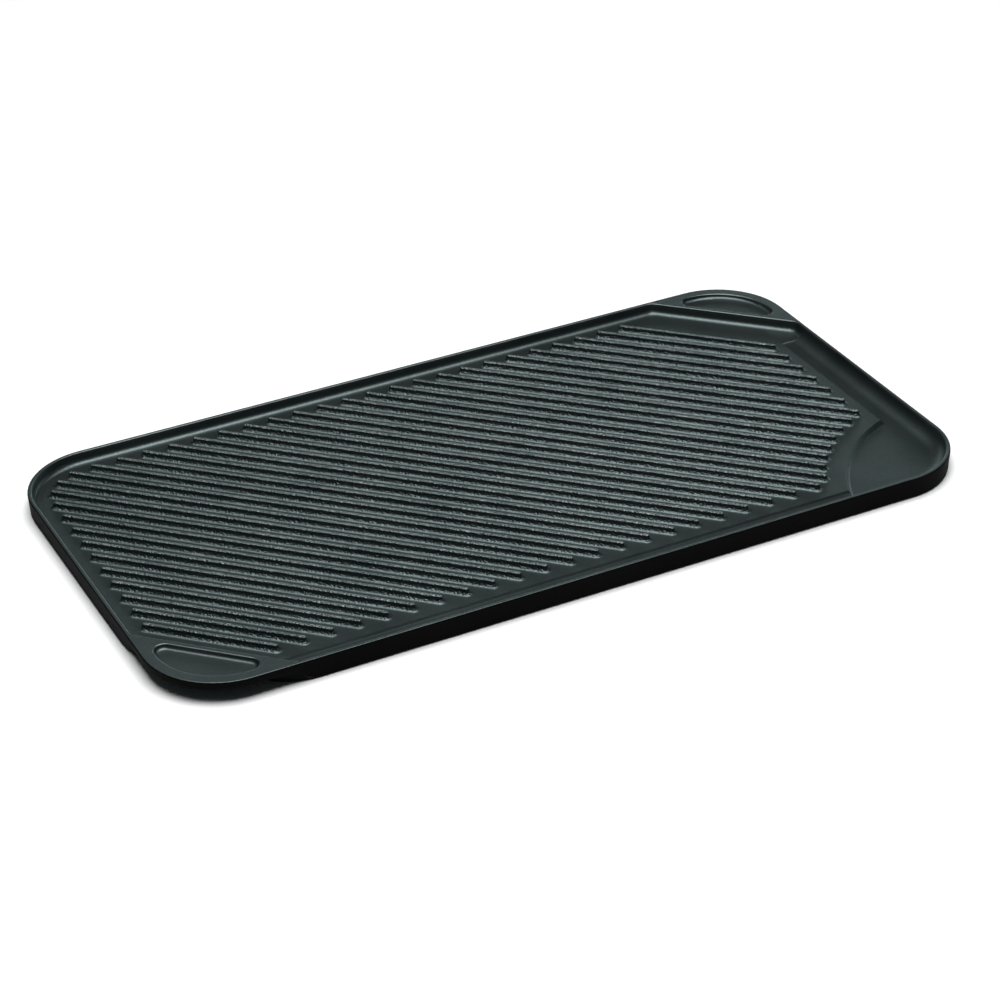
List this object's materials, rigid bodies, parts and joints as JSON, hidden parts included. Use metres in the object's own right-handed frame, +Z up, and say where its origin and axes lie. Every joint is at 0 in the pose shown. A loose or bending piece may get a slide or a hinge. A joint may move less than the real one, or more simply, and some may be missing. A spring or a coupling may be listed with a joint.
{
  "type": "stovetop grill griddle",
  "caption": "rectangular two-burner stovetop griddle with diagonal ribs, raised rim, drip well in one corner and thumb-hollow handle lugs at two opposite corners",
  "frame": {"origin": "middle of the underside that rests on the stove, on the bounding box's bottom face", "axes": "+X along the long side towards the corner with the drip well and the back right handle, +Y from the front to the back, +Z up"},
  "size_m": [0.46, 0.242, 0.012],
  "materials": {
    "nonstick_casting": "cast aluminium with a dark teal-grey semi-gloss non-stick coating",
    "plate_steel": "perforated stainless sheet, ground flat"
  },
  "bodies": {
    "root": {"griddle_casting": "nonstick_casting", "induction_plate_left": "plate_steel", "induction_plate_right": "plate_steel"}
  },
  "joints": []
}
